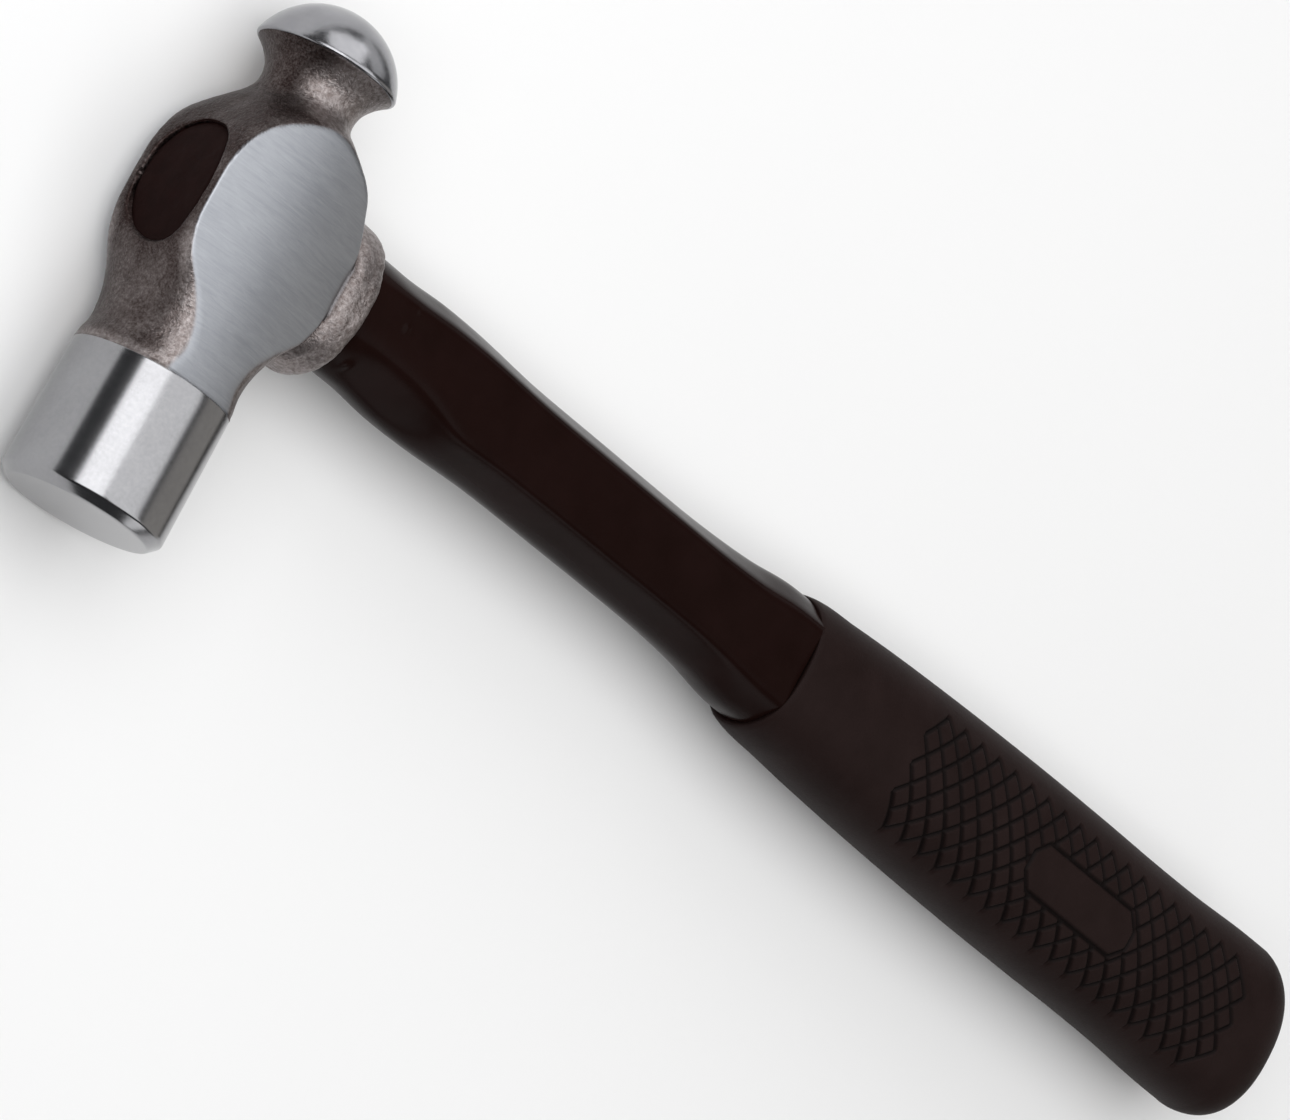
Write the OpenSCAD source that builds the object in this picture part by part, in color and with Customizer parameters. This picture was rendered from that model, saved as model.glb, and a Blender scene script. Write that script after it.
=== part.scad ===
// Ball peen hammer: a drop-forged steel head, bonded with epoxy to a
// fibreglass handle that has a moulded jacket and a rubber grip.
// It lies on its side: X runs along the handle from the head to the butt,
// Y runs along the head from the striking face to the peen, and Z is up.
// All sizes are in millimetres.

/* [Head] */
// Length of the head, from the striking face to the crown of the peen
head_len = 84; // [80:1:90]
// Distance from the striking face to the middle of the handle
face_to_handle = 48.4; // [48:0.5:51]
// Diameter of the poll at its striking face
face_d = 26.1; // [25:0.5:28]
// Diameter of the poll at its upper end
poll_top_d = 25.5; // [25:0.1:26]
// Length of the turned poll
poll_len = 22.3; // [20:0.2:24]
// Width of the bevel round the striking face
face_bevel = 1.5; // [1:0.1:2.5]
// Diameter of the neck between the poll and the eye
neck_d = 23.6; // [22.6:0.2:24]
// Thickness of the head over its two ground cheeks
cheek_thick = 22; // [21:0.5:23]
// Diameter of the round part of a ground cheek
cheek_d = 30.8; // [29.6:0.4:31.6]

/* [Eye and collar] */
// Height of the top of the head above its axis
top_height = 14.6; // [14:0.1:15]
// Depth of the collar's lower edge below the axis of the head
collar_depth = 22; // [21.6:0.2:24]
// Width of the collar along the head
collar_w = 25.2; // [24.8:0.2:26.4]
// Thickness of the collar across the cheeks
collar_thick = 20.4; // [20:0.2:21.4]
// Length of the eye along the head
eye_len = 19.6; // [18:0.2:20]
// Width of the eye across the cheeks
eye_wide = 15.2; // [14.4:0.2:15.6]

/* [Peen] */
// Diameter of the ball that the peen's cap is part of
ball_d = 23.6; // [23.2:0.1:24.4]
// Height of the cap above its rim
cap_height = 8.6; // [7.5:0.1:9.5]
// Diameter of the peen's neck at its waist
peen_neck_d = 15.2; // [14.6:0.2:16.6]

/* [Handle] */
// Distance from the axis of the head to the butt
butt_reach = 272.2; // [266:1:290]
// Distance from the axis of the head to the mouth of the grip
grip_start = 133.8; // [131:0.2:135.6]
// Width of the fibreglass rod
core_w = 13; // [12:0.5:14]
// Thickness of the fibreglass rod
core_thick = 9.6; // [9:0.2:10.2]
// Thickness of the jacket's flat-sided shaft
shaft_thick = 16.8; // [16:0.2:17.4]
// Width of the shaft at its waist
shaft_waist_w = 19.4; // [18.4:0.2:20]
// Greatest width of the grip
grip_w = 30.8; // [30:0.2:33]
// Thickness of the grip where the palm holds it
grip_thick = 21.6; // [21:0.2:24]
// Thickness of rubber over the end of the jacket
butt_wall = 6.5; // [5:0.5:9]

/* [Hidden] */

face_y = -face_to_handle;
peen_y = head_len - face_to_handle;
poll_y = face_y + poll_len;
face_r = face_d / 2;

// Overlap of cuts past the surface they leave through, and the thickness of a
// section that is drawn only to be joined to another
overshoot = 1;
sliver = 0.1;
// Facets of the turned head and of its large arcs
turned_facets = 120;
arc_facets = 180;

// Part origin: the middle of the footprint, on the surface the hammer lies on
origin_x = (butt_reach - top_height) / 2;
origin_y = (face_y + peen_y) / 2;
origin_z = -face_r;

ball_r = ball_d / 2;
ball_y = peen_y - ball_r;
rim_y = peen_y - cap_height;
rim_r = sqrt(pow(ball_r, 2) - pow(rim_y - ball_y, 2));
rim_edge = 0.5;

// Necks: concave arcs turned round the head's axis
neck_waist_y = poll_y + 4;
neck_arc_r = 6.5;
neck_arc_span = 3.6;
body_core_r = 11.7;
peen_waist_y = rim_y - 6.2;
peen_arc_r = 6;
peen_arc_up = 4.2;
peen_arc_down = 5.6;
neck_steps = 8;
peen_steps = 12;
cap_steps = 14;
body_core_from = -13;
body_core_to = 10;

// Body: round cheeks on a crowned block
cheek_crown_r = 60;
cheek_y = 0.6;
cheek_x = 0.4;
top_arc_r = 26;
bottom_height = 15.8;
shoulder_points = [[8.6, 12.4], [11.8, 11], [14.4, 9.4], [19, 7.6]];
peen_shoulder = [
    [-10.9, 11.6], [-8, 14.6], [-4, 16.4], [0, 17], [4, 16.4], [7.4, 15], [9.4, 13.6], [11, 11],
];

// Collar: ring of sections from its root to its rounded lower edge
collar_root = 3.6;
collar_root_x = 13;
collar_full_x = 17.6;
collar_round = 1.6;
collar_y = -0.8;

// Eye: flared at the top of the head
eye_flare = 0.8;
eye_flare_depth = 2.2;
epoxy_sink = 0.4;
epoxy_bottom_x = 7;
seal_bottom_x = 11;
core_top_x = -8;

// Socket: the jacket's upper end fits into the widened lower end of the eye
socket_w = 19.6;
socket_thick = 16;

// Sections along the handle
facets = 36;
oval_power = 2.3;
eye_power = 2.2;
corner_power = 15;
flat_share = 0.64;
side_share = 0.17;
core_cover = 4;
jacket_end = butt_reach - butt_wall;
core_end = jacket_end - core_cover;

// Shaft: distance from the head's axis, and width as a share of the waist
shaft_stations = [
    [27, 1.01], [47, 1.09], [68, 1], [106, 1], [119, 1.04], [128, 1.15],
    [grip_start, 1.17], [160, 1.27], [200, 1.32],
];
shaft_rings = 18;
under_grip_rings = 5;
// Grip: distance from the head's axis, and width as a share of the greatest
grip_stations = [
    [grip_start, 0.75], [136, 0.8], [153, 0.87], [170, 0.91], [206, 0.955], [234, 0.955], [260, 1],
];
grip_mouth = 2.2;
grip_rings = 13;
// Half thickness along the shaft and along the grip, as shares of the greatest
shaft_thick_stations = [[22, 0.97], [40, 1], [118, 1], [grip_start, 1.03], [jacket_end, 1.07]];
grip_thick_stations = [[grip_start, 0.89], [134.6, 0.91], [170, 0.98], [205, 1], [260, 1]];
// Share of the flat-sided outline in the shaft, which starts oval at the head
flats_from = 24;
flats_to = 54;
// The grip leans a little towards the striking face, most of all at its butt
grip_lean = 0.25;
butt_lean = 0.8;
// Butt: the end of the grip is rounded over this length
butt_round = 9;
butt_flat = 0.5;
butt_rings = 7;

// Slope of a smooth curve at point i of its list of points: level at the ends
// and at every crest and hollow
function slope(p, i) =
    i == 0 || i == len(p) - 1 ? 0 :
    let (before = (p[i][1] - p[i - 1][1]) / (p[i][0] - p[i - 1][0]),
         after = (p[i + 1][1] - p[i][1]) / (p[i + 1][0] - p[i][0]))
    before * after <= 0 ? 0 : 2 * before * after / (before + after);

// A smooth curve through a list of points, level beyond both ends
function curved(x, p, i = 0) =
    x <= p[0][0] ? p[0][1] :
    x >= p[len(p) - 1][0] ? p[len(p) - 1][1] :
    x > p[i + 1][0] ? curved(x, p, i + 1) :
    let (h = p[i + 1][0] - p[i][0], s = (x - p[i][0]) / h)
    p[i][1] * (1 + 2 * s) * pow(1 - s, 2) + slope(p, i) * h * s * pow(1 - s, 2)
    + p[i + 1][1] * s * s * (3 - 2 * s) + slope(p, i + 1) * h * s * s * (s - 1);

// Half width and half thickness of the shaft and of the grip at a station
function shaft_w(x) = shaft_waist_w / 2 * curved(x, shaft_stations);
function shaft_t(x) = shaft_thick / 2 * lookup(x, shaft_thick_stations);
function grip_w(x) = grip_w / 2 * curved(x, grip_stations);
function grip_t(x) = grip_thick / 2 * lookup(x, grip_thick_stations);
function shaft_flats(x) = lookup(x, [[flats_from, 0], [flats_to, 1]]);

// Radius in the direction t of an outline with broad flats above and below,
// narrow sides and bevels between them, all with softened corners
function flat_sided_r(t, w, h) =
    let (flat = flat_share * w, side = side_share * h,
         nx = h - side, ny = w - flat, n = norm([nx, ny]),
         bevel = (nx * flat + ny * h) / n,
         cx = abs(cos(t)), cy = abs(sin(t)),
         far = (nx * cx + ny * cy) / n / bevel,
         near = abs(nx * cx - ny * cy) / n / bevel,
         sum = pow(cx / w, corner_power) + pow(cy / h, corner_power)
             + pow(far, corner_power) + pow(near, corner_power))
    pow(sum, -1 / corner_power);

function oval_r(t, w, h, power) =
    pow(pow(abs(cos(t)) / w, power) + pow(abs(sin(t)) / h, power), -1 / power);

// Places from one distance to another, both included
function spread(from, to, steps) = [for (i = [0:steps]) from + (to - from) * i / steps];

// Rings of points round the X axis
function shaft_ring(x) = [
    for (i = [0:facets - 1])
    let (t = 360 * i / facets, w = shaft_w(x), h = shaft_t(x), k = shaft_flats(x),
         r = k * flat_sided_r(t, w, h) + (1 - k) * oval_r(t, w, h, oval_power))
    [x, r * cos(t), r * sin(t)]
];
function oval_ring(x, w, h, power, lean = 0) = [
    for (i = [0:facets - 1]) let (t = 360 * i / facets, r = oval_r(t, w, h, power))
    [x, r * cos(t) - lean, r * sin(t)]
];
function socket_ring(x) = oval_ring(x, socket_w / 2, socket_thick / 2, oval_power);
function core_ring(x) = oval_ring(x, core_w / 2, core_thick / 2, oval_power);
function grip_ring(x) = oval_ring(x, grip_w(x), grip_t(x), oval_power, grip_lean);
function butt_ring(i) =
    let (a = 90 * i / butt_rings, x = butt_reach - butt_round * (1 - sin(a)),
         shrink = butt_flat + (1 - butt_flat) * cos(a))
    oval_ring(x, grip_w(x) * shrink, grip_t(x) * shrink, oval_power, grip_lean + butt_lean * sin(a));

// Two-dimensional ovals for the eye, the seal and the collar
module oval(w, h, power) {
    polygon([for (p = oval_ring(0, w, h, power)) [p[1], p[2]]]);
}

// A slab from x0 to x1 with its outline drawn across the handle
module across_handle(x0, x1) {
    translate([x0, 0, 0]) rotate([90, 0, 90]) linear_extrude(height = x1 - x0) children();
}

// Closed skin over a list of rings, which may run out along the outside of
// a tube and back along its bore
module skin(rings, joined = false) {
    count = len(rings);
    last = joined ? count - 1 : count - 2;
    points = [for (ring = rings) each ring];
    sides = [
        for (k = [0:last]) for (i = [0:facets - 1])
        let (a = k * facets + i, b = k * facets + (i + 1) % facets,
             c = ((k + 1) % count) * facets + i, d = ((k + 1) % count) * facets + (i + 1) % facets)
        each [[a, b, d], [a, d, c]]
    ];
    caps = joined ? [] : [
        [for (i = [facets - 1:-1:0]) i],
        [for (i = [0:facets - 1]) (count - 1) * facets + i],
    ];
    polyhedron(points = points, faces = concat(sides, caps), convexity = 6);
}

// Places a piece so that the part's origin is under the middle of the hammer
module placed() {
    translate([-origin_x, -origin_y, -origin_z]) children();
}

// Points of an arc, from one angle to another
function arc(cx, cy, r, from, to, steps) = [
    for (i = [0:steps]) let (a = from + (to - from) * i / steps) [cx + r * cos(a), cy + r * sin(a)]
];

// Poll, necks and peen, turned round the head's axis
module turned_profile() {
    neck_r = neck_d / 2;
    neck_a = asin(neck_arc_span / neck_arc_r);
    peen_r = peen_neck_d / 2;
    peen_a0 = asin(peen_arc_down / peen_arc_r);
    peen_a1 = asin(peen_arc_up / peen_arc_r);
    rim_a = asin((rim_y - ball_y) / ball_r);
    polygon(concat(
        [[0, face_y], [face_r - face_bevel, face_y], [face_r, face_y + face_bevel]],
        [[poll_top_d / 2, poll_y]],
        arc(neck_r + neck_arc_r, neck_waist_y, neck_arc_r, 180 + neck_a, 180 - neck_a, neck_steps),
        [[body_core_r, body_core_from], [body_core_r, body_core_to]],
        arc(peen_r + peen_arc_r, peen_waist_y, peen_arc_r, 180 + peen_a0, 180 - peen_a1, peen_steps),
        [[rim_r, rim_y - rim_edge]],
        arc(0, ball_y, ball_r, rim_a, 90, cap_steps)
    ));
}

// Outline of the body seen from a cheek
module body_outline() {
    intersection() {
        translate([cheek_x, cheek_y]) circle(d = cheek_d, $fn = turned_facets);
        translate([top_arc_r - top_height, 0]) circle(r = top_arc_r, $fn = arc_facets);
        translate([bottom_height - top_arc_r, 0]) circle(r = top_arc_r, $fn = arc_facets);
    }
    polygon(concat(
        [for (p = shoulder_points) [-p[1], -p[0]]],
        [for (i = [len(shoulder_points) - 1:-1:0]) [shoulder_points[i][1], -shoulder_points[i][0]]]
    ));
    polygon(peen_shoulder);
}

// Space between the two crowned cheeks
module cheek_slab() {
    intersection() {
        crowned_side(1);
        crowned_side(-1);
    }
}

module crowned_side(side) {
    translate([0, 0, side * (cheek_thick / 2 - cheek_crown_r)]) rotate([90, 0, 0])
        cylinder(r = cheek_crown_r, h = 2 * head_len, center = true, $fn = arc_facets);
}

module collar() {
    w = collar_w / 2;
    t = collar_thick / 2;
    translate([0, collar_y, 0]) hull() {
        across_handle(collar_root_x, collar_root_x + sliver)
            oval(w - collar_root / 2, t - collar_root / 2, eye_power);
        across_handle(collar_full_x, collar_depth - collar_round)
            oval(w, t, eye_power);
        across_handle(collar_depth - sliver, collar_depth)
            oval(w - collar_round, t - collar_round, eye_power);
    }
}

// Through hole for the handle, with a flared mouth at the top of the head
module eye() {
    w = eye_len / 2;
    t = eye_wide / 2;
    flare_end_x = eye_flare_depth - top_height;
    across_handle(-top_height - overshoot, collar_depth + overshoot) oval(w, t, eye_power);
    across_handle(seal_bottom_x, collar_depth + overshoot) oval(socket_w / 2, socket_thick / 2, oval_power);
    hull() {
        across_handle(-top_height - overshoot, -top_height) oval(w + eye_flare, t + eye_flare, eye_power);
        across_handle(flare_end_x, flare_end_x + sliver) oval(w, t, eye_power);
    }
}

module head() {
    color("silver") placed() difference() {
        union() {
            // The cheeks are ground across the body and the poll's neck
            intersection() {
                rotate([-90, 0, 0]) rotate_extrude($fn = turned_facets) turned_profile();
                union() {
                    cheek_slab();
                    translate([-face_d, face_y - overshoot, -face_d])
                        cube([2 * face_d, poll_len + overshoot, 2 * face_d]);
                    translate([-face_d, cheek_d / 2, -face_d])
                        cube([2 * face_d, head_len, 2 * face_d]);
                }
            }
            intersection() {
                linear_extrude(height = cheek_thick, center = true) body_outline();
                cheek_slab();
            }
            collar();
        }
        eye();
    }
}

// Epoxy poured into the eye, nearly flush with the top of the head
module eye_epoxy() {
    color([0.13, 0.08, 0.07]) placed() difference() {
        intersection() {
            across_handle(-top_height - overshoot, epoxy_bottom_x)
                oval(eye_len / 2, eye_wide / 2, eye_power);
            translate([top_arc_r - top_height, 0, 0])
                cylinder(r = top_arc_r - epoxy_sink, h = cheek_thick, center = true, $fn = arc_facets);
        }
        across_handle(core_top_x, epoxy_bottom_x + overshoot)
            oval(core_w / 2, core_thick / 2, oval_power);
    }
}

// Ring that closes the eye round the rod, under the epoxy
module eye_seal() {
    color([0.2, 0.2, 0.2]) placed() difference() {
        across_handle(epoxy_bottom_x, seal_bottom_x)
            oval(eye_len / 2, eye_wide / 2, eye_power);
        across_handle(epoxy_bottom_x - overshoot, seal_bottom_x + overshoot)
            oval(core_w / 2, core_thick / 2, oval_power);
    }
}

module handle_core() {
    color([0.85, 0.8, 0.55]) placed()
        across_handle(core_top_x, core_end) oval(core_w / 2, core_thick / 2, oval_power);
}

// Where the rings lie that the jacket and the bore of the grip share
function under_grip() = spread(grip_start, jacket_end, under_grip_rings);

// Moulded jacket round the rod, closed below the rod's end
module handle_jacket() {
    color([0.16, 0.12, 0.11]) placed() skin(concat(
        [core_ring(core_end), core_ring(seal_bottom_x)],
        [socket_ring(seal_bottom_x), socket_ring(collar_depth)],
        [for (x = spread(collar_depth, grip_start, shaft_rings)) shaft_ring(x)],
        [for (i = [1:under_grip_rings]) shaft_ring(under_grip()[i])]
    ));
}

// Rubber sleeve with a closed butt
module grip() {
    bore = under_grip();
    mouth = grip_start + grip_mouth;
    butt_start = butt_reach - butt_round - 1.2;
    color([0.2, 0.15, 0.14]) placed() skin(concat(
        [for (i = [len(bore) - 1:-1:0]) shaft_ring(bore[i])],
        [for (x = [grip_start, grip_start + 0.8]) grip_ring(x)],
        [for (x = spread(mouth, butt_start, grip_rings)) grip_ring(x)],
        [for (i = [0:butt_rings]) butt_ring(i)]
    ));
}

head();
eye_epoxy();
eye_seal();
handle_core();
handle_jacket();
grip();
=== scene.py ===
import math

import bpy
import numpy as np
import openvdb
from mathutils import Matrix, Vector

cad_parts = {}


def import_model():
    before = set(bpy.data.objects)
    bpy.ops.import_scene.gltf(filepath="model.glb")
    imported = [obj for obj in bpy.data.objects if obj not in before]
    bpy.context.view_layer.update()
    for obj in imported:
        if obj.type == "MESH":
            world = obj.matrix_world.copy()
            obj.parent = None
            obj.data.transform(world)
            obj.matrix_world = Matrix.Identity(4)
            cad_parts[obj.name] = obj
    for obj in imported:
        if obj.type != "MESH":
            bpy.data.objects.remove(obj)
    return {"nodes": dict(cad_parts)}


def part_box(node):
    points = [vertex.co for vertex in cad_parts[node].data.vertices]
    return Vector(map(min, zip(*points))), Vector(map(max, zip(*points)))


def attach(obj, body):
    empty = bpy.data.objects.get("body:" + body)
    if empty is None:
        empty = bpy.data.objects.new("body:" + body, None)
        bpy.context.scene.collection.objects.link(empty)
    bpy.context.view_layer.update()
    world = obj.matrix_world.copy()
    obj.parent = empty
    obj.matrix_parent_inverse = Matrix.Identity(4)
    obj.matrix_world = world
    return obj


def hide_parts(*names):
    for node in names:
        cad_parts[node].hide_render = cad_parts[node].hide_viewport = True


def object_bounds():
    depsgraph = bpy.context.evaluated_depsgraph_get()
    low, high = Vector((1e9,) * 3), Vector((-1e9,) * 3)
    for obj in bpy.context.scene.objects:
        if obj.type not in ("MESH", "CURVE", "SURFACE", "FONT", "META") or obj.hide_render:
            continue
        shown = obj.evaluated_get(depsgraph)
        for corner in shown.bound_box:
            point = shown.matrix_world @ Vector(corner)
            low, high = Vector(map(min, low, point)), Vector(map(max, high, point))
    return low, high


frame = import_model()
CAD_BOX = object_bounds()
bpy.context.scene.view_settings.view_transform = "Standard"

# ---------------------------------------------------------------------------
# The local frame: millimetres, X along the handle from the head's axis, Y
# along the head from the handle's middle towards the peen, Z up from the axis.
# ---------------------------------------------------------------------------
MM = 0.001
head_lo, head_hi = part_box("head")
grip_lo, grip_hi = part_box("grip")
jacket_lo, jacket_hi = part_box("handle_jacket")
core_lo, core_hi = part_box("handle_core")
_, epoxy_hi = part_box("eye_epoxy")
TOP_H = 14.6
FACE_R = 13.05
FACE_Y = -48.4
POLL_LEN = 22.3
POLL_TOP_R = 12.76
CAP_HEIGHT = 8.6
PEEN_Y = FACE_Y + (head_hi.y - head_lo.y) / MM
ORIGIN = np.array([head_lo.x + TOP_H * MM, head_lo.y - FACE_Y * MM, head_lo.z + FACE_R * MM])
BUTT_X = (grip_hi.x - ORIGIN[0]) / MM
MOUTH_X = (grip_lo.x - ORIGIN[0]) / MM
JACKET_END_X = (jacket_hi.x - ORIGIN[0]) / MM
JACKET_TOP_X = (jacket_lo.x - ORIGIN[0]) / MM
CORE_TOP_X = (core_lo.x - ORIGIN[0]) / MM
CORE_END_X = (core_hi.x - ORIGIN[0]) / MM
EPOXY_END_X = (epoxy_hi.x - ORIGIN[0]) / MM
COLLAR_X = (head_hi.x - ORIGIN[0]) / MM
POLL_Y = FACE_Y + POLL_LEN
BALL_R = 11.8
BALL_Y = PEEN_Y - BALL_R
RIM_Y = PEEN_Y - CAP_HEIGHT
RIM_R = math.sqrt(BALL_R**2 - (RIM_Y - BALL_Y) ** 2)


def world(points):
    return np.asarray(points, float) * MM + ORIGIN


def smooth(t):
    t = np.clip(t, 0.0, 1.0)
    return t * t * (3 - 2 * t)


def curve(t, table):
    """A smooth monotone curve through a table of (position, value) pairs."""
    k, v = np.array(table, float).T
    h, d = np.diff(k), np.diff(v) / np.diff(k)
    m = np.concatenate([[d[0]], (d[:-1] + d[1:]) / 2, [d[-1]]])
    flat = np.concatenate([[False], d[:-1] * d[1:] <= 0, [False]])
    m[flat] = 0.0
    limit = 3 * np.minimum(np.abs(np.append(d, d[-1])), np.abs(np.insert(d, 0, d[0])))
    m = np.clip(m, -limit, limit)
    t = np.clip(t, k[0], k[-1])
    i = np.clip(np.searchsorted(k, t, side="right") - 1, 0, len(k) - 2)
    s = (t - k[i]) / h[i]
    a, b = v[i], v[i + 1]
    return (
        a * (1 + 2 * s) * (1 - s) ** 2
        + m[i] * h[i] * s * (1 - s) ** 2
        + b * s * s * (3 - 2 * s)
        + m[i + 1] * h[i] * s * s * (s - 1)
    )


def at(x, table):
    """The value of a table's curve at one place."""
    return float(curve(np.array([x]), table)[0])


def lattice(i, j, k, seed):
    """A fixed pseudo-random value between -1 and 1 for each lattice point."""
    n = (i * 73856093) ^ (j * 19349663) ^ (k * 83492791) ^ (seed * 2654435761)
    n = n & 0xFFFFFFFF
    n = ((n ^ (n >> 15)) * 2246822519) & 0xFFFFFFFF
    n = ((n ^ (n >> 13)) * 3266489917) & 0xFFFFFFFF
    return ((n ^ (n >> 16)) & 0xFFFFFF) / float(0x7FFFFF) - 1.0


def noise(points, size, seed):
    """Smooth value noise between -1 and 1, with features of about size."""
    q = points / size
    base = np.floor(q).astype(np.int64)
    f = q - base
    f = f * f * f * (f * (f * 6 - 15) + 10)
    total = np.zeros(len(points))
    for a in (0, 1):
        for b in (0, 1):
            for c in (0, 1):
                w = (
                    (f[:, 0] if a else 1 - f[:, 0])
                    * (f[:, 1] if b else 1 - f[:, 1])
                    * (f[:, 2] if c else 1 - f[:, 2])
                )
                total += w * lattice(base[:, 0] + a, base[:, 1] + b, base[:, 2] + c, seed)
    return total


def fbm(points, size, octaves, seed):
    """Noise with finer octaves added, each half as strong as the last."""
    total = np.zeros(len(points))
    share = 1.0
    for o in range(octaves):
        total += share * noise(points + 17.3 * o, size / 2**o, seed + o)
        share *= 0.5
    return total


# ---------------------------------------------------------------------------
# Camera
# ---------------------------------------------------------------------------
cam_data = bpy.data.cameras.new("camera")
cam_data.sensor_width = 36.0
cam_data.lens = 225.5
cam_data.clip_start, cam_data.clip_end = 0.05, 20
camera = bpy.data.objects.new("camera", cam_data)
bpy.context.scene.collection.objects.link(camera)
bpy.context.scene.camera = camera
CAMERA_AT = world([-715.1, -256.3, 886.2])
turn = Vector((2.782, 0.8293, 1.1728))
rows = Matrix.Rotation(turn.length, 3, turn)
axes = Matrix([rows[0], -rows[1], -rows[2]]).transposed()
camera.matrix_world = Matrix.Translation(Vector(CAMERA_AT)) @ axes.to_4x4()


# ---------------------------------------------------------------------------
# Mesh helpers
# ---------------------------------------------------------------------------
def mesh_object(name, points, faces, materials, index=None, normals=None, values=None):
    """A smooth-shaded object from local points. values are point attributes."""
    mesh = bpy.data.meshes.new(name)
    mesh.from_pydata(world(points).tolist(), [], faces)
    mesh.update()
    for m in materials:
        mesh.materials.append(m)
    mesh.polygons.foreach_set("use_smooth", np.ones(len(mesh.polygons), bool))
    if index is not None:
        mesh.polygons.foreach_set("material_index", np.asarray(index, np.int32))
    for key, value in (values or {}).items():
        layer = mesh.attributes.new(key, "FLOAT", "POINT")
        layer.data.foreach_set("value", np.asarray(value, np.float32))
    if normals is not None:
        mesh.normals_split_custom_set_from_vertices(np.asarray(normals).tolist())
    obj = bpy.data.objects.new(name, mesh)
    bpy.context.scene.collection.objects.link(obj)
    return obj


def skin_faces(rings, around):
    """Quads over rings of points, and a fan to one pole point at either end.
    The poles are the first and the last point."""
    i = np.arange(around)
    j = (i + 1) % around
    faces = []
    for k in range(rings - 1):
        a = 1 + k * around
        b = a + around
        faces += np.stack([a + i, a + j, b + j, b + i], 1).tolist()
    last = 1 + (rings - 1) * around
    faces += np.stack([0 * i, 1 + j, 1 + i], 1).tolist()
    faces += np.stack([0 * i + last + around, last + i, last + j], 1).tolist()
    return faces


def rounded(points, radii, steps=5):
    """A polyline with each inner corner replaced by a small arc-like curve."""
    pts = [np.array(p, float) for p in points]
    out = [pts[0]]
    for k in range(1, len(pts) - 1):
        a, b, c = pts[k - 1], pts[k], pts[k + 1]
        r = radii[k]
        if r <= 0:
            out.append(b)
            continue
        u = (a - b) / np.linalg.norm(a - b)
        w = (c - b) / np.linalg.norm(c - b)
        for s in np.linspace(0, 1, steps + 1):
            out.append((1 - s) ** 2 * (b + r * u) + 2 * s * (1 - s) * b + s * s * (b + r * w))
    out.append(pts[-1])
    return np.array(out)


def divided(points, longest):
    """A polyline cut so that no stretch is longer than longest."""
    out = [points[0]]
    for a, b in zip(points[:-1], points[1:]):
        n = max(1, int(math.ceil(np.linalg.norm(b - a) / longest)))
        out += [a + (b - a) * (s / n) for s in range(1, n + 1)]
    return np.array(out)


def lathe(profile, around):
    """Points and faces of a profile of (radius, y) turned round the Y axis.
    The profile starts and ends on the axis."""
    t = np.linspace(0, 2 * math.pi, around, endpoint=False)
    rings = [
        np.stack([r * np.sin(t), np.full(around, y), r * np.cos(t)], 1)
        for r, y in profile[1:-1]
    ]
    first, last = profile[0], profile[-1]
    points = np.vstack([[[0, first[1], 0]]] + rings + [[[0, last[1], 0]]])
    return points, skin_faces(len(rings), around)


# ---------------------------------------------------------------------------
# Materials
# ---------------------------------------------------------------------------
class Nodes:
    """Short calls for building one procedural material."""

    def __init__(self, name, **settings):
        self.material = bpy.data.materials.new(name)
        self.material.use_nodes = True
        self.tree = self.material.node_tree
        self.shader = self.tree.nodes["Principled BSDF"]
        for key, value in settings.items():
            self.shader.inputs[key.replace("_", " ")].default_value = value
        self.place = self.tree.nodes.new("ShaderNodeTexCoord").outputs["Object"]

    def add(self, kind, inputs=(), **fields):
        node = self.tree.nodes.new(kind)
        for key, value in fields.items():
            setattr(node, key, value)
        for key, value in dict(inputs).items():
            if hasattr(value, "links"):
                self.tree.links.new(value, node.inputs[key])
            else:
                node.inputs[key].default_value = value
        return node

    def to(self, socket, value):
        self.tree.links.new(value, self.shader.inputs[socket])

    def attribute(self, name):
        return self.add("ShaderNodeAttribute", attribute_name=name).outputs["Fac"]

    def math(self, operation, a, b=0.0, clamp=False):
        return self.add(
            "ShaderNodeMath", {0: a, 1: b}, operation=operation, use_clamp=clamp
        ).outputs[0]

    def noise(self, scale, detail=4.0, rough=0.55, vector=None, distortion=0.0):
        return self.add(
            "ShaderNodeTexNoise",
            {
                "Vector": vector or self.place,
                "Scale": scale,
                "Detail": detail,
                "Roughness": rough,
                "Distortion": distortion,
            },
        ).outputs["Fac"]

    def stretch(self, x, y, z):
        return self.add(
            "ShaderNodeMapping", {"Vector": self.place, "Scale": (x, y, z)}
        ).outputs[0]

    def ramp(self, value, stops):
        node = self.add("ShaderNodeValToRGB", {"Fac": value})
        elements = node.color_ramp.elements
        while len(elements) < len(stops):
            elements.new(0.5)
        for e, (position, colour) in zip(elements, stops):
            e.position = position
            e.color = (*colour, 1)
        return node.outputs["Color"]

    def mix(self, factor, a, b, kind="RGBA"):
        node = self.add("ShaderNodeMix", data_type=kind)
        names = {"RGBA": (6, 7, 2), "FLOAT": (2, 3, 0)}[kind]
        for socket, value in ((0, factor), (names[0], a), (names[1], b)):
            if hasattr(value, "links"):
                self.tree.links.new(value, node.inputs[socket])
            elif socket and kind == "RGBA":
                node.inputs[socket].default_value = (*value, 1)
            else:
                node.inputs[socket].default_value = value
        return node.outputs[names[2]]

    def bump(self, height, distance, strength):
        inputs = {"Height": height, "Distance": distance, "Strength": strength}
        return self.add("ShaderNodeBump", inputs).outputs["Normal"]


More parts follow.
